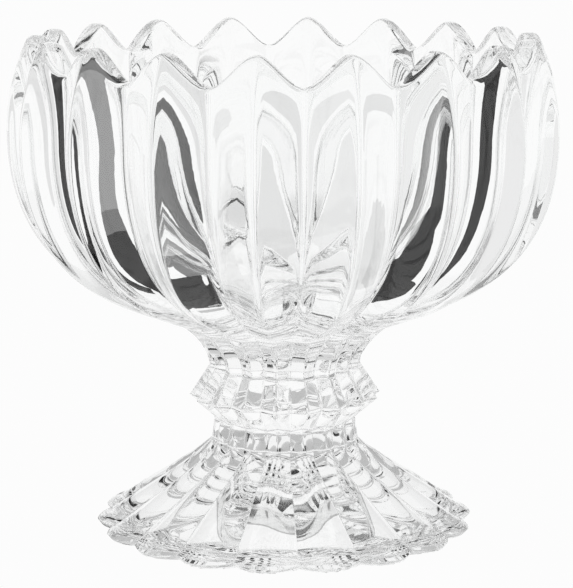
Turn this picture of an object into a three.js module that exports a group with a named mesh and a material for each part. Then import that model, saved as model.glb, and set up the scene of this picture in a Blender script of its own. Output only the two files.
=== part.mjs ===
// A footed dessert bowl of clear pressed glass: five fluted pieces, fused one on top of the other.
// Millimetres, +Z up. The origin is the centre of the ring that the foot rests on.
import * as THREE from "three";

// Driving dimensions.
const FLUTES = 18; // ridges round the axis, in register on every piece

// Heights of the pieces, from the table up.
const FOOT_HEIGHT = 18.6;
const LOWER_COLLAR_HEIGHT = 3.8;
const KNOP_HEIGHT = 12;
const UPPER_COLLAR_HEIGHT = 9.1;
const BOWL_HEIGHT = 60.8; // from the seat to the peaks of the rim

// Radii at the ridges of the seams, and the depth of the grooves between the ridges there.
const FOOT_SEAM_RADIUS = 15.6;
const FOOT_SEAM_GROOVE = 0.9;
const LOWER_NECK_RADIUS = 15.1;
const LOWER_NECK_GROOVE = 1.2;
const UPPER_NECK_RADIUS = 16.1;
const UPPER_NECK_GROOVE = 1.2;
const BOWL_SEAM_RADIUS = 22.3;
const BOWL_SEAM_GROOVE = 1.5;

// Foot: lobed edge, straight sloping panels, a flare up to the collar, and a shallow dome underneath.
const FOOT_RADIUS = 40.2; // at the tips of the lobes
const FOOT_NOTCH = 2.8; // how far the notches between the lobes stand in from the tips
const TIP_HEIGHT = 1;
const BASE_ROUND = 0.8; // how far the resting face stands in from the tips
const LIP_INSET = 3.4; // from the tip of a lobe to where its sloping panel starts
const LIP_HEIGHT = 3.2;
const LIP_CROWN = 0.6; // how far the fullest point of the lip stands in from the tip
const LIP_CROWN_HEIGHT = 2.1;
const PANEL_GROOVE = 1.6; // depth of the grooves between the panels at the lip
const SHOULDER_RADIUS = 23.4; // where the panel turns up into the flare
const SHOULDER_HEIGHT = 12;
const SHOULDER_GROOVE = 1.3;
const FLARE_SPREAD = 0.7; // the flare arrives at the collar from this far outside it
const FLARE_DROP = 1.7; // and from this far below
const ARCH_GAP = 0.3; // each panel ends in an arch, this far below the collar at its top
const ARCH_DROP = 1.1; // and lower still in the grooves
const RECESS_RADIUS = 31;
const RECESS_DEPTH = 8;

// Knop.
const KNOP_RADIUS = 20.3; // at the ridges of its equator
const KNOP_EQUATOR = 5.6; // height of the equator above the knop's lower seam
const KNOP_GROOVE = 1.8;
const KNOP_NECK = 0.2; // the lower facets end this far above the seam in the grooves
const KNOP_POINT = 0.9; // and rise into a point at the ridges

// Upper collar: its flare starts steep and opens towards the bowl.
const COLLAR_FLARE = 1.85; // exponent of the flare

// Bowl, with heights measured from its seat.
const BELLY_RADIUS = 57.9;
const BELLY_HEIGHT = 40.8;
const BELLY_GROOVE = 5.9;
const UNDERSIDE_ANGLE = THREE.MathUtils.degToRad(38); // rise of the underside where it leaves the seat
const UNDERSIDE_REACH = 6.4; // how far that rise carries outwards
const SIDE_REACH = 34.7; // how far the upright side carries down from the belly
const RIM_RADIUS = 53; // at the ridges, outside
const RIM_GROOVE = 0.6; // the grooves all but run out at the rim
const SCALLOP_DEPTH = 6.3; // from the peaks of the rim down to its valleys
const RIM_WALL = 3.8;
const BELLY_WALL = 9.5; // from a ridge at the belly to the inside, which is plain and opens a little upwards
const RIM_EDGE = 1.2; // radius of the fire-polished edges of the rim
const FLOOR_HEIGHT = 4.5; // inside, at the axis
const FLOOR_REACH = 30; // how far the flat of the floor carries outwards
const INNER_SIDE_REACH = 30; // how far the upright inside carries down from the belly

// How crisp the waves are: a right angle is a sharp zigzag, and smaller angles round its crests and troughs.
const RIDGE_ANGLE = THREE.MathUtils.degToRad(80);
const RIM_ANGLE = THREE.MathUtils.degToRad(45);

// Facets: shares of a flute where a column of points stands, and rings in each stretch of the profiles.
const FLUTE_STEPS = [0, 0.12, 0.38, 0.5, 0.62, 0.88];
const COARSE_RINGS = 4;
const FINE_RINGS = 10;
const EDGE_RINGS = 2;

// Waves round the axis. A share of 0 is the middle of a groove and 0.5 is a ridge. Each wave runs from 0
// to 1.
function zigzag(angle) {
  return (share) => 0.5 - Math.asin(Math.sin(angle) * Math.cos(2 * Math.PI * share)) / (2 * angle);
}
const ridgeWave = zigzag(RIDGE_ANGLE);
const rimWave = zigzag(RIM_ANGLE);
const lobeWave = (share) => Math.abs(Math.sin(Math.PI * share));

const lerp = THREE.MathUtils.lerp;
const point = (radius, height) => new THREE.Vector2(radius, height);

// The shares 0 to 1 in even steps, with or without the first.
function steps(count, first = 0) {
  return Array.from({ length: count + 1 - first }, (_, i) => (i + first) / count);
}

// A ring of the surface: a ridge point whose grooves stand in from it by the given radius and height.
function flutedRing(ridge, wave, inset, drop = 0) {
  return (share) => {
    const groove = 1 - wave(share);
    return point(ridge.x - inset * groove, ridge.y - drop * groove);
  };
}

// A closed solid from its rings, listed from the lower pole up the outside to the upper pole.
function solidOfRings(lowerPole, rings, upperPole) {
  const columns = FLUTES * FLUTE_STEPS.length;
  const corners = [0, 0, lowerPole];
  for (const ring of rings) {
    for (let flute = 0; flute < FLUTES; flute++) {
      for (const share of FLUTE_STEPS) {
        const at = ring(share);
        const angle = ((flute + share) / FLUTES) * 2 * Math.PI;
        corners.push(at.x * Math.sin(angle), -at.x * Math.cos(angle), at.y);
      }
    }
  }
  corners.push(0, 0, upperPole);
  const last = corners.length / 3 - 1;
  const faces = [];
  for (let column = 0; column < columns; column++) {
    const next = (column + 1) % columns;
    faces.push(0, 1 + next, 1 + column);
    for (let ring = 0; ring < rings.length - 1; ring++) {
      const low = 1 + ring * columns;
      const high = low + columns;
      faces.push(low + column, low + next, high + next);
      faces.push(low + column, high + next, high + column);
    }
    faces.push(last - columns + column, last - columns + next, last);
  }
  const geometry = new THREE.BufferGeometry();
  geometry.setAttribute("position", new THREE.Float32BufferAttribute(corners, 3));
  geometry.setIndex(faces);
  geometry.computeVertexNormals();
  return geometry;
}

// Foot: from the dome underneath, out over the resting face and the lobed lip, and up the panels to the
// collar.
function footGeometry() {
  const dome = steps(COARSE_RINGS, 1).map((share) =>
    flutedRing(point(RECESS_RADIUS * share, RECESS_DEPTH * (1 - share * share)), lobeWave, 0),
  );
  const base = flutedRing(point(FOOT_RADIUS - BASE_ROUND, 0), lobeWave, FOOT_NOTCH);
  const lipTop = point(FOOT_RADIUS - LIP_INSET, LIP_HEIGHT);
  const shoulder = point(SHOULDER_RADIUS, SHOULDER_HEIGHT);
  const slope = Math.atan2(shoulder.y - lipTop.y, lipTop.x - shoulder.x);
  const lipCrown = point(FOOT_RADIUS - LIP_CROWN, LIP_CROWN_HEIGHT);
  const lip = new THREE.QuadraticBezierCurve(point(FOOT_RADIUS, TIP_HEIGHT), lipCrown, lipTop);
  const lipInset = PANEL_GROOVE * Math.sin(slope);
  const lipDrop = PANEL_GROOVE * Math.cos(slope);
  const lipRings = steps(EDGE_RINGS).map((share) =>
    flutedRing(lip.getPoint(share), lobeWave, lerp(FOOT_NOTCH, lipInset, share), lipDrop * share),
  );
  const panelRings = steps(COARSE_RINGS, 1).map((share) => {
    const depth = lerp(PANEL_GROOVE, SHOULDER_GROOVE, share);
    const ridge = lipTop.clone().lerp(shoulder, share);
    return flutedRing(ridge, lobeWave, depth * Math.sin(slope), depth * Math.cos(slope));
  });
  const archTop = point(FOOT_SEAM_RADIUS, FOOT_HEIGHT - ARCH_GAP);
  const flareTurn = point(FOOT_SEAM_RADIUS + FLARE_SPREAD, FOOT_HEIGHT - FLARE_DROP);
  const flare = new THREE.QuadraticBezierCurve(shoulder, flareTurn, archTop);
  const flareRings = steps(COARSE_RINGS, 1).map((share) => {
    const inset = lerp(SHOULDER_GROOVE * Math.sin(slope), FOOT_SEAM_GROOVE, share);
    const drop = lerp(SHOULDER_GROOVE * Math.cos(slope), ARCH_DROP, share);
    return flutedRing(flare.getPoint(share), lobeWave, inset, drop);
  });
  const seamRing = flutedRing(point(FOOT_SEAM_RADIUS, FOOT_HEIGHT), lobeWave, FOOT_SEAM_GROOVE);
  const rings = [...dome, base, ...lipRings, ...panelRings, ...flareRings, seamRing];
  return solidOfRings(RECESS_DEPTH, rings, FOOT_HEIGHT);
}

// Lower collar: the soft lobes of the foot sharpen into the ridges of the knop.
function lowerCollarGeometry() {
  const rings = steps(EDGE_RINGS).map((share) => {
    const wave = (at) => lerp(lobeWave(at), ridgeWave(at), share);
    const radius = lerp(FOOT_SEAM_RADIUS, LOWER_NECK_RADIUS, share);
    const groove = lerp(FOOT_SEAM_GROOVE, LOWER_NECK_GROOVE, share);
    return flutedRing(point(radius, LOWER_COLLAR_HEIGHT * share), wave, groove);
  });
  return solidOfRings(0, rings, LOWER_COLLAR_HEIGHT);
}

// Knop: two rows of flat facets that meet in pointed ridges at the equator, on a neck with a zigzag edge.
function knopGeometry() {
  const seamRing = flutedRing(point(LOWER_NECK_RADIUS, 0), ridgeWave, LOWER_NECK_GROOVE);
  const below = steps(EDGE_RINGS).map((share) =>
    flutedRing(
      point(lerp(LOWER_NECK_RADIUS, KNOP_RADIUS, share), lerp(KNOP_NECK + KNOP_POINT, KNOP_EQUATOR, share)),
      ridgeWave,
      lerp(LOWER_NECK_GROOVE, KNOP_GROOVE, share),
      lerp(KNOP_POINT, 0, share),
    ),
  );
  const above = steps(EDGE_RINGS, 1).map((share) =>
    flutedRing(
      point(lerp(KNOP_RADIUS, UPPER_NECK_RADIUS, share), lerp(KNOP_EQUATOR, KNOP_HEIGHT, share)),
      ridgeWave,
      lerp(KNOP_GROOVE, UPPER_NECK_GROOVE, share),
    ),
  );
  return solidOfRings(0, [seamRing, ...below, ...above], KNOP_HEIGHT);
}

// Upper collar: fluted like the bowl above it, and opening upwards.
function upperCollarGeometry() {
  const rings = steps(COARSE_RINGS).map((share) => {
    const opened = share ** COLLAR_FLARE;
    const radius = lerp(UPPER_NECK_RADIUS, BOWL_SEAM_RADIUS, opened);
    const groove = lerp(UPPER_NECK_GROOVE, BOWL_SEAM_GROOVE, opened);
    return flutedRing(point(radius, UPPER_COLLAR_HEIGHT * share), ridgeWave, groove);
  });
  return solidOfRings(0, rings, UPPER_COLLAR_HEIGHT);
}

// Bowl: a shell with swelling pleats outside, a plain inside and a scalloped, rounded rim.
function bowlGeometry() {
  const crownHeight = BOWL_HEIGHT - BELLY_HEIGHT;
  const rimHeight = (share) => BOWL_HEIGHT - SCALLOP_DEPTH * (1 - rimWave(share));

  // Radii at a height above the belly, outside and inside.
  const crown = (height) => ((height - BELLY_HEIGHT) / crownHeight) ** 2;
  const outside = (height, share) => {
    const groove = lerp(BELLY_GROOVE, RIM_GROOVE, crown(height));
    return lerp(BELLY_RADIUS, RIM_RADIUS, crown(height)) - groove * (1 - ridgeWave(share));
  };
  const innerBelly = BELLY_RADIUS - BELLY_WALL;
  const inside = (height) => lerp(innerBelly, RIM_RADIUS - RIM_WALL, crown(height));

  const underside = new THREE.CubicBezierCurve(
    point(BOWL_SEAM_RADIUS, 0),
    point(
      BOWL_SEAM_RADIUS + UNDERSIDE_REACH * Math.cos(UNDERSIDE_ANGLE),
      UNDERSIDE_REACH * Math.sin(UNDERSIDE_ANGLE),
    ),
    point(BELLY_RADIUS, BELLY_HEIGHT - SIDE_REACH),
    point(BELLY_RADIUS, BELLY_HEIGHT),
  );
  const undersideRings = steps(FINE_RINGS).map((share) => {
    const ridge = underside.getPoint(share);
    const spread = (ridge.x - BOWL_SEAM_RADIUS) / (BELLY_RADIUS - BOWL_SEAM_RADIUS);
    const groove = lerp(BOWL_SEAM_GROOVE, BELLY_GROOVE, Math.sin((spread * Math.PI) / 2));
    return flutedRing(ridge, ridgeWave, groove);
  });

  // The walls run up to where the rim's rounded edges start, which follows the scallops.
  const wallHeight = (share, climb) => lerp(BELLY_HEIGHT, rimHeight(share) - RIM_EDGE, climb);
  const outerRings = steps(COARSE_RINGS, 1).map((climb) => (share) => {
    const height = wallHeight(share, climb);
    return point(outside(height, share), height);
  });
  const innerRings = steps(COARSE_RINGS).map((climb) => (share) => {
    const height = wallHeight(share, 1 - climb);
    return point(inside(height), height);
  });
  // An edge carries the lean of its wall on up to the rim, and then turns level, towards the other wall.
  const edge = (wall, across, share, turn) => {
    const height = wallHeight(share, 1);
    const top = rimHeight(share);
    const corner = wall(top, share);
    const start = point(wall(height, share), height);
    const end = point(corner + across * RIM_EDGE, top);
    return new THREE.QuadraticBezierCurve(start, point(corner, top), end).getPoint(turn);
  };
  const turns = steps(EDGE_RINGS, 1);
  const outerEdge = turns.map((turn) => (share) => edge(outside, -1, share, turn));
  const innerEdge = turns.toReversed().map((turn) => (share) => edge(inside, 1, share, turn));

  const cup = new THREE.CubicBezierCurve(
    point(innerBelly, BELLY_HEIGHT),
    point(innerBelly, BELLY_HEIGHT - INNER_SIDE_REACH),
    point(FLOOR_REACH, FLOOR_HEIGHT),
    point(0, FLOOR_HEIGHT),
  );
  const cupRings = steps(FINE_RINGS, 1)
    .slice(0, -1)
    .map((share) => flutedRing(cup.getPoint(share), ridgeWave, 0));
  const rings = [...undersideRings, ...outerRings, ...outerEdge, ...innerEdge, ...innerRings, ...cupRings];
  return solidOfRings(0, rings, FLOOR_HEIGHT);
}

// Assembly: each piece stands on the seam of the one below it.
const clearGlass = new THREE.MeshStandardMaterial({
  color: 0xf4f7f6,
  roughness: 0.03,
  metalness: 0,
  transparent: true,
  opacity: 0.35,
});
const dessertBowl = new THREE.Group();
const pieces = [
  ["foot", footGeometry(), FOOT_HEIGHT],
  ["lower_collar", lowerCollarGeometry(), LOWER_COLLAR_HEIGHT],
  ["knop", knopGeometry(), KNOP_HEIGHT],
  ["upper_collar", upperCollarGeometry(), UPPER_COLLAR_HEIGHT],
  ["bowl", bowlGeometry(), BOWL_HEIGHT],
];
let seam = 0;
for (const [name, geometry, height] of pieces) {
  const mesh = new THREE.Mesh(geometry, clearGlass.clone());
  mesh.name = name;
  mesh.position.z = seam;
  dessertBowl.add(mesh);
  seam += height;
}

export default dessertBowl;
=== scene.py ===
# %% [markdown]
# # A footed dessert bowl of clear pressed glass
# The bowl is five pieces of hot glass set one on the other: a lobed foot, a short collar, a faceted knop, a
# flared collar and a pleated cup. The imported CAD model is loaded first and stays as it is. Each of its
# solids is then replaced by a finer glass surface of the same size, worked out from the same measures.

# %% Load the frame
import math

import bpy
import numpy as np
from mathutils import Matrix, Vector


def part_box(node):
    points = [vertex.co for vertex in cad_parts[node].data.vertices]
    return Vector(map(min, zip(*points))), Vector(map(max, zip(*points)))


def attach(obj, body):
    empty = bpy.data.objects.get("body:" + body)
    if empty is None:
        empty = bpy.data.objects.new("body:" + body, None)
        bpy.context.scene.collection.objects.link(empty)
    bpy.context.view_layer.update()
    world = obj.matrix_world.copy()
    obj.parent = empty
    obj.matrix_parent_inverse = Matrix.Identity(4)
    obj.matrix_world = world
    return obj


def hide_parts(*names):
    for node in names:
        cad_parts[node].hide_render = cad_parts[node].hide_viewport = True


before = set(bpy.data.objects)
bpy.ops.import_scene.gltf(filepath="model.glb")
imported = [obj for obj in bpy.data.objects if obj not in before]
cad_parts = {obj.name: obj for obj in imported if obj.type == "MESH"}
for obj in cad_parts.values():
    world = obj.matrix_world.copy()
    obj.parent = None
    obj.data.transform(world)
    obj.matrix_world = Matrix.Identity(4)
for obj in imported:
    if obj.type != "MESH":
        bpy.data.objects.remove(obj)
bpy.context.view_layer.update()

# %% [markdown]
# ## The camera
# A long lens stands half a metre away and looks a little down, so the far rim shows above the near one. It
# could be moved by eye until the picture looks right, but then the lens can hide a wrong distance. Here
# lens, distance and height were worked out from where the peaks of the two rims and the edge of the foot
# fall in the picture. The camera's tilt does the framing, so the lens needs no shift.

# %% Camera
MM = 0.001
PICTURE_LONG_SIDE = 588  # pixels
FOCAL_PIXELS = 2318.98
SENSOR = 36.0  # mm, along the long side of the picture
CAMERA_DISTANCE = 482.81  # mm, and so are the next two
CAMERA_HEIGHT = 141.19
CAMERA_ASIDE = 0.35
CAMERA_TILT = math.radians(10.77)
CAMERA_TURN = math.radians(-4.15)

lens = bpy.data.cameras.new("camera")
lens.sensor_width = SENSOR
lens.lens = FOCAL_PIXELS * SENSOR / PICTURE_LONG_SIDE
camera = bpy.data.objects.new("camera", lens)
bpy.context.scene.collection.objects.link(camera)
right = np.array([math.cos(CAMERA_TURN), math.sin(CAMERA_TURN), 0])
back = np.array([math.sin(CAMERA_TURN), -math.cos(CAMERA_TURN), 0])
up = np.array([0, 0, 1])
camera.location = MM * (CAMERA_DISTANCE * back + CAMERA_ASIDE * right + CAMERA_HEIGHT * up)
camera.rotation_euler = (math.pi / 2 - CAMERA_TILT, 0, CAMERA_TURN)
bpy.context.scene.camera = camera
print(f"lens {lens.lens:.1f} mm, {camera.location.length:.3f} m from the foot")

# %% [markdown]
# ## Shader sums
# A finish is easier to read as a sum than as a picture of nodes. `Wire` stands for one output of a node,
# and adding or multiplying wires adds the Math nodes. `Finish.node` adds any other node: its type first,
# then its settings, then what goes into its sockets.


# %% Wires and finishes
class Wire:
    """One output of a shader node. Sums, differences and products of wires add Math nodes to its finish."""

    def __init__(self, finish, socket):
        self.finish, self.socket = finish, socket

    def sum_with(self, operation, first, second):
        return self.finish.node("ShaderNodeMath", {"operation": operation}, {0: first, 1: second})

    def __add__(self, other):
        return self.sum_with("ADD", self, other)

    def __rsub__(self, other):
        return self.sum_with("SUBTRACT", other, self)

    def __mul__(self, other):
        return self.sum_with("MULTIPLY", self, other)

    __rmul__ = __mul__


class Finish:
    """The node tree of a material or of the world."""

    def __init__(self, owner):
        owner.use_nodes = True
        self.owner, self.tree = owner, owner.node_tree
        self.tree.nodes.clear()

    def node(self, kind, settings=None, inputs=None, output=0):
        """Adds a node of that kind, sets its settings, fills its sockets with numbers, colours or wires, and
        gives back one of its outputs as a wire."""
        made = self.tree.nodes.new(kind)
        for name, value in (settings or {}).items():
            setattr(made, name, value)
        for socket, value in (inputs or {}).items():
            if isinstance(value, Wire):
                self.tree.links.new(value.socket, made.inputs[socket])
            else:
                made.inputs[socket].default_value = value
        return Wire(self, made.outputs[output]) if len(made.outputs) else None


print("wires add, subtract and multiply")

# %% [markdown]
# ## Floor and light
# Clear glass has no colour of its own, so it shows only what stands round it. Photographers set it on a
# light table in a white tent, and lay cards just outside the picture where the glass should draw a line. A
# white board under a lamp could be the floor, but the bowl would throw a shadow on it. The floor here is a
# light table: it glows, so nothing under the glass turns grey.

# %% Light table
WHITE = (1, 1, 1, 1)
FLOOR_SIZE = 8.0  # m, and so is the gap between the floor and the foot
FLOOR_GAP = 0.0001
FLOOR_GLOW = 0.975


def plate(name, corners, strength):
    """A flat sheet of the studio, glowing white or grey. Its corners are in metres, in order round it."""
    sheet = bpy.data.meshes.new(name)
    sheet.from_pydata(corners, [], [tuple(range(len(corners)))])
    paper = Finish(bpy.data.materials.new(name + "_paper"))
    glow = paper.node("ShaderNodeEmission", {}, {"Color": WHITE, "Strength": strength})
    paper.node("ShaderNodeOutputMaterial", {}, {"Surface": glow})
    sheet.materials.append(paper.owner)
    made = bpy.data.objects.new(name, sheet)
    bpy.context.scene.collection.objects.link(made)
    return made


half_floor = FLOOR_SIZE / 2
floor_corners = [(-1, -1), (1, -1), (1, 1), (-1, 1)]
plate("floor", [(x * half_floor, y * half_floor, -FLOOR_GAP) for x, y in floor_corners], FLOOR_GLOW)
print(f"floor {FLOOR_SIZE} m")

# %% [markdown]
# ## Cards
# The broad dark stripes in the sides of the bowl are cards that lie to the left and the right of it, bent
# and stretched by the pleats. Pale cards beside them give the softer grey of the middle pleats. Small ones
# close to the foot darken the low part of the bowl. The grey card behind the stem is a painted shadow: the
# shade that the stem throws on the table behind it, which greys the stem and the foot through the glass.
# Upright boards could do the same, but would stand in the way from other sides. Flat cards do not, and the
# camera does not see them, so the floor stays plain from every side.
#
# A card is a strip of the table that runs outwards. Each row of its list is an edge across it: the distance
# from the axis, the two angles where the edge begins and ends, and how bright the card is from there to the
# next edge. Angles count from straight behind the bowl, and are positive to the right of the camera.

# %% Cards
CARD_HEIGHT = -FLOOR_GAP / 2
CARD_CORNERS = 13
BLACK = 0.0
# Distances in metres.
STEM, UNDER_FOOT, BESIDE_FOOT, UNDER_BELLY = 0.02, 0.036, 0.045, 0.056
CLOSE, NEAR, MIDDLE, FAR, TABLE_EDGE = 0.075, 0.11, 0.17, 0.24, 0.8
CARDS = {
    "left_pale": [(MIDDLE, -48, -34, 0.78), (FAR, -47, -33, 0.76), (TABLE_EDGE, -48, -32)],
    "left_back": [
        (CLOSE, -66, -55, BLACK),
        (MIDDLE, -64, -52, BLACK),
        (FAR, -65, -50, BLACK),
        (TABLE_EDGE, -66, -50),
    ],
    "left": [
        (UNDER_BELLY, -85, -60, BLACK),
        (CLOSE, -104, -66, BLACK),
        (MIDDLE, -99, -80, 0.15),
        (FAR, -96, -81, 0.3),
        (TABLE_EDGE, -95, -83),
    ],
    "right_pale": [(MIDDLE, 36, 58, 0.86), (FAR, 36, 60, 0.83), (TABLE_EDGE, 36, 60)],
    "right_back": [
        (CLOSE, 62, 79, BLACK),
        (MIDDLE, 71, 83, BLACK),
        (FAR, 71, 83, BLACK),
        (TABLE_EDGE, 65, 79),
    ],
    "right": [
        (CLOSE, 94, 117, BLACK),
        (MIDDLE, 102, 117, BLACK),
        (FAR, 96, 108, 0.02),
        (TABLE_EDGE, 92, 103),
    ],
    "left_front": [(CLOSE, -136, -118, 0.2), (NEAR, -134, -116)],
    "left_foot": [
        (UNDER_FOOT, -98, -65, BLACK),
        (BESIDE_FOOT, -114, -72, BLACK),
        (UNDER_BELLY, -118, -85, BLACK),
        (CLOSE, -126, -104),
    ],
    "right_foot": [(BESIDE_FOOT, 58, 92, BLACK), (CLOSE, 86, 110)],
    # Painted shadow: a grey sheet on the table behind the stem, where the stem's shade falls.
    "stem_shadow": [(STEM, -70, 75, 0.5), (BESIDE_FOOT, -62, 50)],
}


def card_edge(reach, first, last):
    """An arc at one distance: along the line of sight by the cosine, and to the right by the sine."""
    turns = np.radians(np.linspace(first, last, CARD_CORNERS))
    return reach * (np.outer(np.sin(turns), right) - np.outer(np.cos(turns), back)) + CARD_HEIGHT * up


for name, edges in CARDS.items():
    for row, ((*here, grey), there) in enumerate(zip(edges, edges[1:])):
        corners = np.concatenate([card_edge(*here), card_edge(*there[:3])[::-1]])
        card = plate(f"card_{name}_{row}", corners.tolist(), grey)
        card.visible_camera = False
print(f"{len(CARDS)} cards")

# %% [markdown]
# ## Tent
# The sky is the tent: white cloth all round, a little duller straight overhead. High up at the back, two
# soft-edged dark gaps stand beside the lamp. These draw the fine lines of the rim, the stem and the foot.
# Cloth could be modelled, but the tent is so large beside the bowl that only the direction of a look
# matters. So the light is worked out from the direction: the cosine of four times the angle round the tent
# is lowest in the gaps, and a soft step cuts them out.

# %% Tent
TENT_LIGHT = 0.93
GAPS_PER_TURN = 4
GAP_EDGE = -0.1
GAP_SOFTNESS = 0.25
GAP_LOW, GAP_HIGH = 0.12, 0.35  # sines of the height above the table, as for the top
GAP_BACK = 0.25
TOP_LOW, TOP_HIGH = 0.72, 0.9
TOP_DEPTH = 0.3

tent = Finish(bpy.data.worlds.new("tent"))
direction = tent.node("ShaderNodeTexCoord")
aside = tent.node("ShaderNodeSeparateXYZ", {}, {0: direction}, "X")
behind, overhead = (Wire(tent, aside.socket.node.outputs[axis]) for axis in "YZ")
azimuth = tent.node("ShaderNodeMath", {"operation": "ARCTAN2"}, {0: aside, 1: behind})
turned = tent.node("ShaderNodeMath", {"operation": "COSINE"}, {0: azimuth * GAPS_PER_TURN})


def soft_step(value, low, high):
    """0 below low, 1 above high, and a smooth rise between them."""
    inputs = {"Value": value, "From Min": low, "From Max": high}
    return tent.node("ShaderNodeMapRange", {"interpolation_type": "SMOOTHSTEP"}, inputs)


gap = 1 - soft_step(turned, GAP_EDGE - GAP_SOFTNESS, GAP_EDGE + GAP_SOFTNESS)
gap = gap * soft_step(overhead, GAP_LOW, GAP_HIGH) * soft_step(behind, 0.0, GAP_BACK)
dull_top = TOP_DEPTH * soft_step(overhead, TOP_LOW, TOP_HIGH)
light = TENT_LIGHT * (1 - gap) * (1 - dull_top)
cloth = tent.node("ShaderNodeBackground", {}, {"Color": WHITE, "Strength": light})
tent.node("ShaderNodeOutputWorld", {}, {"Surface": cloth})
bpy.context.scene.world = tent.owner
bpy.context.scene.view_settings.view_transform = "Standard"
print(f"tent light {TENT_LIGHT}")

# %% [markdown]
# ## Bounces
# A look through the bowl passes four skins of glass or more, and light is thrown back inside the thick
# parts several times. So it is followed for more bounces than a scene without glass needs. Too few would
# leave black patches in the stem.

# %% Bounces
GLASS_BOUNCES = 24

cycles = bpy.context.scene.cycles
cycles.max_bounces = GLASS_BOUNCES
cycles.transmission_bounces = GLASS_BOUNCES
cycles.glossy_bounces = GLASS_BOUNCES
cycles.transparent_max_bounces = GLASS_BOUNCES
print(f"light is followed for {GLASS_BOUNCES} bounces")

# %% [markdown]
# ## Pressed glass
# Pressed glass takes its skin from the mould: almost as clear as cut crystal, with a slow waviness where
# the hot gob was chilled, and a faint film where hands and cloths have been. The clear body is one
# Principled shader. The waviness could be modelled, but it is far lower than the flutes, so a bump is
# enough. The film is a small change of roughness and tint. Where two pieces have run together there is no
# skin at all, so that face is see-through.

# %% Clear glass, and the fused joint
GLASS_IOR = 1.51
GLASS_CLEAR = (1, 1, 1, 1)
GLASS_FILM = (0.975, 0.982, 0.98, 1)
WAVE_SCALE = 90.0
PEEL_SCALE = 700.0
PEEL_SHARE = 0.06
WAVE_DETAIL = 1.0
WAVE_STRENGTH = 0.06
WAVE_HEIGHT = 0.0006  # m
FILM_SCALE = 45.0
FILM_DETAIL = 4.0
FILM_ROUGHNESS = 0.02
MIX_FIRST, MIX_SECOND, MIX_COLOUR = 6, 7, 2  # a Mix node's two colour sockets and its colour output


def clear_glass():
    """Glass: noise at two sizes makes the chill waves, and a third noise lays the film."""
    glass = Finish(bpy.data.materials.new("clear_pressed_glass"))
    place = glass.node("ShaderNodeTexCoord", output="Object")

    def noise(scale, detail):
        return glass.node("ShaderNodeTexNoise", {}, {"Vector": place, "Scale": scale, "Detail": detail})

    waves = noise(WAVE_SCALE, WAVE_DETAIL) + PEEL_SHARE * noise(PEEL_SCALE, WAVE_DETAIL)
    film = noise(FILM_SCALE, FILM_DETAIL)
    relief = {"Strength": WAVE_STRENGTH, "Distance": WAVE_HEIGHT, "Height": waves}
    colours = {"Factor": film, MIX_FIRST: GLASS_CLEAR, MIX_SECOND: GLASS_FILM}
    body = {
        "Base Color": glass.node("ShaderNodeMix", {"data_type": "RGBA"}, colours, MIX_COLOUR),
        "Roughness": film * film * FILM_ROUGHNESS,
        "IOR": GLASS_IOR,
        "Transmission Weight": 1.0,
        "Normal": glass.node("ShaderNodeBump", {}, relief),
    }
    skin = glass.node("ShaderNodeBsdfPrincipled", {}, body)
    glass.node("ShaderNodeOutputMaterial", {}, {"Surface": skin})
    return glass.owner


def fused_joint():
    """The face where two pieces have run together: nothing to see, because the glass goes on through it."""
    joint = Finish(bpy.data.materials.new("fused_joint"))
    skin = joint.node("ShaderNodeBsdfPrincipled", {}, {"Base Color": GLASS_CLEAR, "Alpha": 0.0})
    joint.node("ShaderNodeOutputMaterial", {}, {"Surface": skin})
    return joint.owner


GLASS, JOINT = clear_glass(), fused_joint()
print("materials:", GLASS.name, JOINT.name)

# %% [markdown]
# ## Flutes
# Eighteen flutes run in line from the foot to the rim, as one mould cut would make them. They could be cut
# out of a smooth bowl with eighteen wedges, but cuts leave long thin faces that shade badly. Here every
# surface is a grid: rings up the profile and columns round the axis. The columns crowd together at ridges
# and grooves, so that these stay crisp without a fine grid everywhere.

# %% Columns round the axis, and the waves across a flute
FLUTES = 18
COLUMNS_PER_FLUTE = 20
CROWDING = 0.8
RIDGE_ANGLE = math.radians(80)
RIM_ANGLE = math.radians(45)

even = np.arange(FLUTES * COLUMNS_PER_FLUTE) / COLUMNS_PER_FLUTE
crowded = even - CROWDING * np.sin(4 * np.pi * even) / (4 * np.pi)
angle = crowded * 2 * np.pi / FLUTES
share = crowded % 1.0


def zigzag(crispness):
    """A wave from 0 in the groove to 1 on the ridge: the arcsine of a cosine, which is a zigzag when the
    crispness is a right angle, and rounds its turns when it is less."""
    return 0.5 - np.arcsin(math.sin(crispness) * np.cos(2 * np.pi * share)) / (2 * crispness)


ridge_wave = zigzag(RIDGE_ANGLE)
rim_wave = zigzag(RIM_ANGLE)
lobe_wave = np.abs(np.sin(np.pi * share))
print(f"{len(angle)} columns, {FLUTES} flutes")

# %% [markdown]
# ## Profiles
# A piece is a list of ring bands. Each band gives, for every ring, the radius and height along the ridge
# and how far the grooves stand in from it. The profiles are the curves of a drawing program: a straight
# line, a quadratic with one turning point, and a cubic with a handle at each end. They need few points and
# have no corners between those. In all of them, t is the share of the way along, from 0 to 1.


# %% Helpers for profiles
def mix(start, end, amount):
    """Straight blend: start where amount is 0, end where it is 1."""
    return start + (end - start) * amount


def steps(count, first=0):
    """Even shares from 0 to 1 as a column of rings, leaving out the first ones."""
    return (np.arange(first, count + 1) / count)[:, None]


def line(first, last, t):
    """Straight line from first to last."""
    return tuple(mix(a, b, t) for a, b in zip(first, last))


def bend2(first, turn, last, t):
    """Quadratic curve: leaves first towards turn, and arrives at last from turn."""
    return tuple((1 - t) ** 2 * a + 2 * t * (1 - t) * b + t**2 * c for a, b, c in zip(first, turn, last))


def bend3(first, leave, arrive, last, t):
    """Cubic curve with a handle at each end."""
    weights = ((1 - t) ** 3, 3 * t * (1 - t) ** 2, 3 * t**2 * (1 - t), t**3)
    return tuple(
        sum(w * p for w, p in zip(weights, points)) for points in zip(first, leave, arrive, last)
    )


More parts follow.
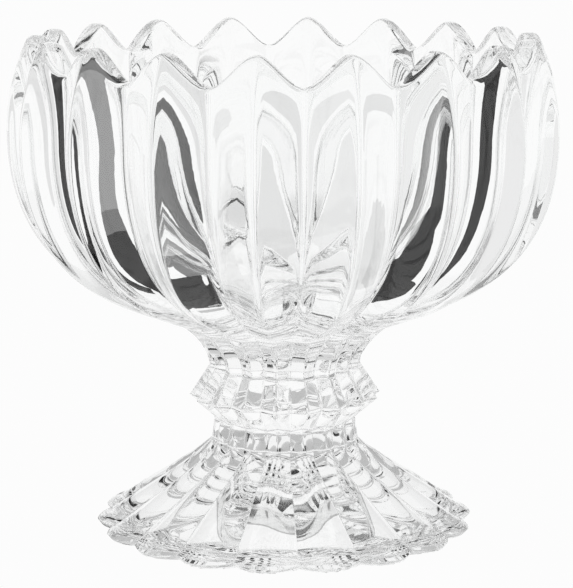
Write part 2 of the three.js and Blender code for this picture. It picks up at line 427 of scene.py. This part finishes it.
def fluted(radius, height, wave, inset, drop=0):
    """Rings with grooves: the radius and height of the ridge, less inset and drop where the wave is 0."""
    groove = 1 - wave
    return radius - inset * groove, height - drop * groove


seat = {name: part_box(name)[0].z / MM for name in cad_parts}
crest = {name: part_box(name)[1].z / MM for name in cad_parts}
print("seats in mm:", {name: round(z, 2) for name, z in seat.items()})

# %% [markdown]
# ## Closed skins
# The bands of a piece are stacked, closed with a point at each end and put into a mesh at once. A modifier
# could spin a profile round, but it would not make flutes. Points and faces in a known order do, and the
# fan of faces round a pole is easy to find again: it is a fused joint where another piece touches it.


# %% Helpers for meshes
def skin_points(bands, low_pole, high_pole):
    """Points in metres: the lower pole, then each ring at its radius and height round the axis, with the
    first column towards -Y and the next ones turning to +X, then the upper pole."""
    radius = np.concatenate([np.broadcast_to(r, (len(r), angle.size)) for r, _ in bands])
    height = np.concatenate([np.broadcast_to(h, (len(r), angle.size)) for r, h in bands])
    grid = np.stack([radius * np.sin(angle), -radius * np.cos(angle), height], axis=-1)
    return MM * np.concatenate([[[0, 0, low_pole]], grid.reshape(-1, 3), [[0, 0, high_pole]]])


def skin_faces(rings, columns):
    """Faces outwards: a fan round the lower pole, squares between each ring and the next, and a fan round
    the upper pole."""
    column = np.arange(columns)
    beside = (column + 1) % columns
    low = 1 + np.arange(rings - 1)[:, None] * columns
    high = low + columns
    top = 1 + (rings - 1) * columns
    low_fan = np.stack([np.zeros_like(column), 1 + beside, 1 + column], axis=-1)
    squares = np.stack([low + column, low + beside, high + beside, high + column], axis=-1)
    high_fan = np.stack([top + column, top + beside, np.full_like(column, top + columns)], axis=-1)
    return low_fan.tolist() + squares.reshape(-1, 4).tolist() + high_fan.tolist()


def glass_piece(name, bands, low_pole, high_pole, low_joint, high_joint):
    """A closed skin of glass from ring bands in millimetres, listed from the lower pole up the outside to
    the upper pole. A fan is a fused joint where its flag is 1."""
    rings, columns = sum(len(r) for r, _ in bands), angle.size
    mesh = bpy.data.meshes.new(name)
    mesh.from_pydata(skin_points(bands, low_pole, high_pole), [], skin_faces(rings, columns))
    is_joint = np.zeros(len(mesh.polygons), dtype=np.int32)
    is_joint[:columns] = low_joint
    is_joint[-columns:] = high_joint
    mesh.materials.append(GLASS)
    mesh.materials.append(JOINT)
    mesh.polygons.foreach_set("material_index", is_joint)
    mesh.polygons.foreach_set("use_smooth", is_joint == 0)
    mesh.update()
    piece = bpy.data.objects.new(name + "_glass", mesh)
    bpy.context.scene.collection.objects.link(piece)
    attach(piece, "root")
    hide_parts(name)
    print(f"{name}: {rings} rings, {2 * rings * columns} triangles")


print("pieces are closed at both poles")

# %% [markdown]
# ## Foot
# The foot is a low cone with eighteen soft lobes, hollow underneath so that it rests on a ring. It could be
# a turned cone with grooves cut into it, but pressed glass has no sharp cuts, so the rings carry the lobes
# from the start. The lip turns over in one curve, the panels run straight up, and a flare lifts them into
# the stem, where each ends in a small arch. The grooves are square to the slope of the panels, so they
# stand in and down.

# %% Foot: measures in mm
FOOT_SEAM = (15.6, 0.9)  # radius and groove, as at every seam
FOOT_RADIUS = 40.2
FOOT_NOTCH = 2.8
TIP_HEIGHT = 1.0
BASE_ROUND = 0.8
LIP_INSET, LIP_HEIGHT = 3.4, 3.2
LIP_CROWN, LIP_CROWN_HEIGHT = 0.6, 2.1
PANEL_GROOVE = 1.6
SHOULDER = (23.4, 12.0)  # radius and height
SHOULDER_GROOVE = 1.3
FLARE_SPREAD, FLARE_DROP = 0.7, 1.7
ARCH_GAP = 0.3
ARCH_DROP = 1.1
RECESS_RADIUS = 31.0
RECESS_DEPTH = 8.0
DOME_RINGS, LIP_RINGS, PANEL_RINGS, FLARE_RINGS, ARCH_RINGS = 16, 12, 20, 20, 4

lip_top = (FOOT_RADIUS - LIP_INSET, LIP_HEIGHT)
lip_crown = (FOOT_RADIUS - LIP_CROWN, LIP_CROWN_HEIGHT)
flare_turn = (FOOT_SEAM[0] + FLARE_SPREAD, crest["foot"] - FLARE_DROP)
arch_top = (FOOT_SEAM[0], crest["foot"] - ARCH_GAP)
panel_slope = math.atan2(SHOULDER[1] - lip_top[1], lip_top[0] - SHOULDER[0])
inwards, downwards = math.sin(panel_slope), math.cos(panel_slope)
print(f"panels rise at {math.degrees(panel_slope):.1f} degrees")

# %% Foot: underside and lip
t = steps(DOME_RINGS, 1)
dome = fluted(RECESS_RADIUS * t, RECESS_DEPTH * (1 - t**2), lobe_wave, 0)
t = steps(1, 1)
base_ring = fluted((FOOT_RADIUS - BASE_ROUND) * t, 0 * t, lobe_wave, FOOT_NOTCH)
t = steps(LIP_RINGS)
inset = mix(FOOT_NOTCH, PANEL_GROOVE * inwards, t)
drop = PANEL_GROOVE * downwards * t
lip = fluted(*bend2((FOOT_RADIUS, TIP_HEIGHT), lip_crown, lip_top, t), lobe_wave, inset, drop)
print(f"the foot rests on a ring from {RECESS_RADIUS} to {FOOT_RADIUS - BASE_ROUND} mm")

# %% Foot: panels, flare and arches
t = steps(PANEL_RINGS, 1)
depth = mix(PANEL_GROOVE, SHOULDER_GROOVE, t)
panel = fluted(*line(lip_top, SHOULDER, t), lobe_wave, depth * inwards, depth * downwards)
t = steps(FLARE_RINGS, 1)
inset = mix(SHOULDER_GROOVE * inwards, FOOT_SEAM[1], t)
drop = mix(SHOULDER_GROOVE * downwards, ARCH_DROP, t)
flare = fluted(*bend2(SHOULDER, flare_turn, arch_top, t), lobe_wave, inset, drop)
t = steps(ARCH_RINGS, 1)
arch_height = crest["foot"] - ARCH_GAP * (1 - t)
arch = fluted(FOOT_SEAM[0] + 0 * t, arch_height, lobe_wave, FOOT_SEAM[1], ARCH_DROP * (1 - t))
glass_piece("foot", [dome, base_ring, lip, panel, flare, arch], RECESS_DEPTH, crest["foot"], 0, 1)

# %% [markdown]
# ## Stem
# Three short pieces carry the bowl: a collar whose soft lobes sharpen into ridges, the knop with two rows
# of facets that meet in a pointed waist, and a collar that opens up to the bowl. They could be one turned
# stem, but the real seams show as creases, so each piece has rings of its own. All are straight blends
# between two seams, and a power of the height makes the upper collar start steep and open towards the bowl.

# %% Lower collar
LOWER_NECK = (15.1, 1.2)
SLEEVE_RINGS = 10

t = steps(SLEEVE_RINGS)
sleeve_radius, sleeve_groove = line(FOOT_SEAM, LOWER_NECK, t)
sleeve_height = mix(seat["lower_collar"], crest["lower_collar"], t)
sleeve = fluted(sleeve_radius, sleeve_height, mix(lobe_wave, ridge_wave, t), sleeve_groove)
glass_piece("lower_collar", [sleeve], seat["lower_collar"], crest["lower_collar"], 1, 1)

# %% Knop
KNOP = (20.3, 1.8)
KNOP_EQUATOR = 5.6
KNOP_NECK = 0.2
KNOP_POINT = 0.9
UPPER_NECK = (16.1, 1.2)
NECK_RINGS, FACET_RINGS = 4, 10

equator = seat["knop"] + KNOP_EQUATOR
point_top = seat["knop"] + KNOP_NECK + KNOP_POINT
t = steps(NECK_RINGS)
neck_height = mix(seat["knop"], point_top, t)
neck = fluted(LOWER_NECK[0] + 0 * t, neck_height, ridge_wave, LOWER_NECK[1], KNOP_POINT * t)
t = steps(FACET_RINGS, 1)
below_radius, below_groove = line(LOWER_NECK, KNOP, t)
below = fluted(below_radius, mix(point_top, equator, t), ridge_wave, below_groove, KNOP_POINT * (1 - t))
above_radius, above_groove = line(KNOP, UPPER_NECK, t)
above = fluted(above_radius, mix(equator, crest["knop"], t), ridge_wave, above_groove)
glass_piece("knop", [neck, below, above], seat["knop"], crest["knop"], 1, 1)

# %% Upper collar
BOWL_SEAM = (22.3, 1.5)
COLLAR_FLARE = 1.85
FUNNEL_RINGS = 16

t = steps(FUNNEL_RINGS)
funnel_radius, funnel_groove = line(UPPER_NECK, BOWL_SEAM, t**COLLAR_FLARE)
funnel_height = mix(seat["upper_collar"], crest["upper_collar"], t)
funnel = fluted(funnel_radius, funnel_height, ridge_wave, funnel_groove)
glass_piece("upper_collar", [funnel], seat["upper_collar"], crest["upper_collar"], 1, 1)

# %% [markdown]
# ## Bowl
# The cup is pleated like folded paper outside, plain inside, and cut off along a wavy line with
# fire-polished edges. The underside swings out in one curve, the sides stand up, and the crown leans in a
# little towards the rim. A plain wall with ribs added to it would not do: the ridges and the grooves follow
# different profiles, so the depth of the pleats is worked out anew for every ring.

# %% Bowl: measures in mm
BELLY = (57.9, 40.8)  # radius and height above the seat
BELLY_GROOVE = 5.9
BELLY_WALL = 9.5
RIM_GROOVE = 0.6
UNDERSIDE_ANGLE = math.radians(38)
UNDERSIDE_REACH = 6.4
SIDE_REACH = 34.7
RIM_RADIUS = 53.0
SCALLOP_DEPTH = 6.3
RIM_WALL = 3.8
RIM_EDGE = 1.2
FLOOR_HEIGHT = 4.5
FLOOR_REACH = 30.0
INNER_SIDE_REACH = 30.0
UNDERSIDE_RINGS, WALL_RINGS, EDGE_RINGS, CUP_RINGS = 48, 20, 8, 48

inner_belly = BELLY[0] - BELLY_WALL
bowl_height = crest["bowl"] - seat["bowl"]
crown_height = bowl_height - BELLY[1]
rim_height = bowl_height - SCALLOP_DEPTH * (1 - rim_wave)
wall_top = rim_height - RIM_EDGE
print(f"bowl {bowl_height:.1f} mm high, of which {crown_height:.1f} above the belly")


# %% Bowl: walls above the belly, and the rim
def crown(height):
    """0 at the belly and 1 at the peaks of the rim, by the square of the height."""
    return ((height - BELLY[1]) / crown_height) ** 2


def outer_wall(height):
    """Above the belly the ridges lean in and the grooves run out, so the pleats end at the rim."""
    closing = crown(height)
    groove = mix(BELLY_GROOVE, RIM_GROOVE, closing)
    return fluted(mix(BELLY[0], RIM_RADIUS, closing), height, ridge_wave, groove)


def inner_wall(height):
    """The inside is plain and opens a little upwards, so that the plunger of the mould comes out."""
    return fluted(mix(inner_belly, RIM_RADIUS - RIM_WALL, crown(height)), height, ridge_wave, 0)


def rim_edge(wall, across, t):
    """A rounded edge: it carries the lean of its wall on up to the rim, then turns level towards the other
    wall."""
    corner, top = wall(rim_height)
    return bend2(wall(wall_top), (corner, top), (corner + across * RIM_EDGE, top), t)


outside = outer_wall(mix(BELLY[1], wall_top, steps(WALL_RINGS, 1)))
outer_edge = rim_edge(outer_wall, -1, steps(EDGE_RINGS, 1))
inner_edge = rim_edge(inner_wall, 1, steps(EDGE_RINGS, 1)[::-1])
inside = inner_wall(mix(BELLY[1], wall_top, steps(WALL_RINGS)[::-1]))
print(f"rim from {rim_height.min():.1f} to {rim_height.max():.1f} mm above the seat")

# %% Bowl: underside and cup
rise = (UNDERSIDE_REACH * math.cos(UNDERSIDE_ANGLE), UNDERSIDE_REACH * math.sin(UNDERSIDE_ANGLE))
under_radius, under_height = bend3(
    (BOWL_SEAM[0], 0),
    (BOWL_SEAM[0] + rise[0], rise[1]),
    (BELLY[0], BELLY[1] - SIDE_REACH),
    BELLY,
    steps(UNDERSIDE_RINGS),
)
spread = (under_radius - BOWL_SEAM[0]) / (BELLY[0] - BOWL_SEAM[0])
under_groove = mix(BOWL_SEAM[1], BELLY_GROOVE, np.sin(spread * np.pi / 2))
underside = fluted(under_radius, under_height, ridge_wave, under_groove)
cup_curve = bend3(
    (inner_belly, BELLY[1]),
    (inner_belly, BELLY[1] - INNER_SIDE_REACH),
    (FLOOR_REACH, FLOOR_HEIGHT),
    (0, FLOOR_HEIGHT),
    steps(CUP_RINGS, 1)[:-1],
)
cup = fluted(*cup_curve, ridge_wave, 0)

bands = [underside, outside, outer_edge, inner_edge, inside, cup]
lifted = [(radius, height + seat["bowl"]) for radius, height in bands]
glass_piece("bowl", lifted, seat["bowl"], seat["bowl"] + FLOOR_HEIGHT, 1, 0)
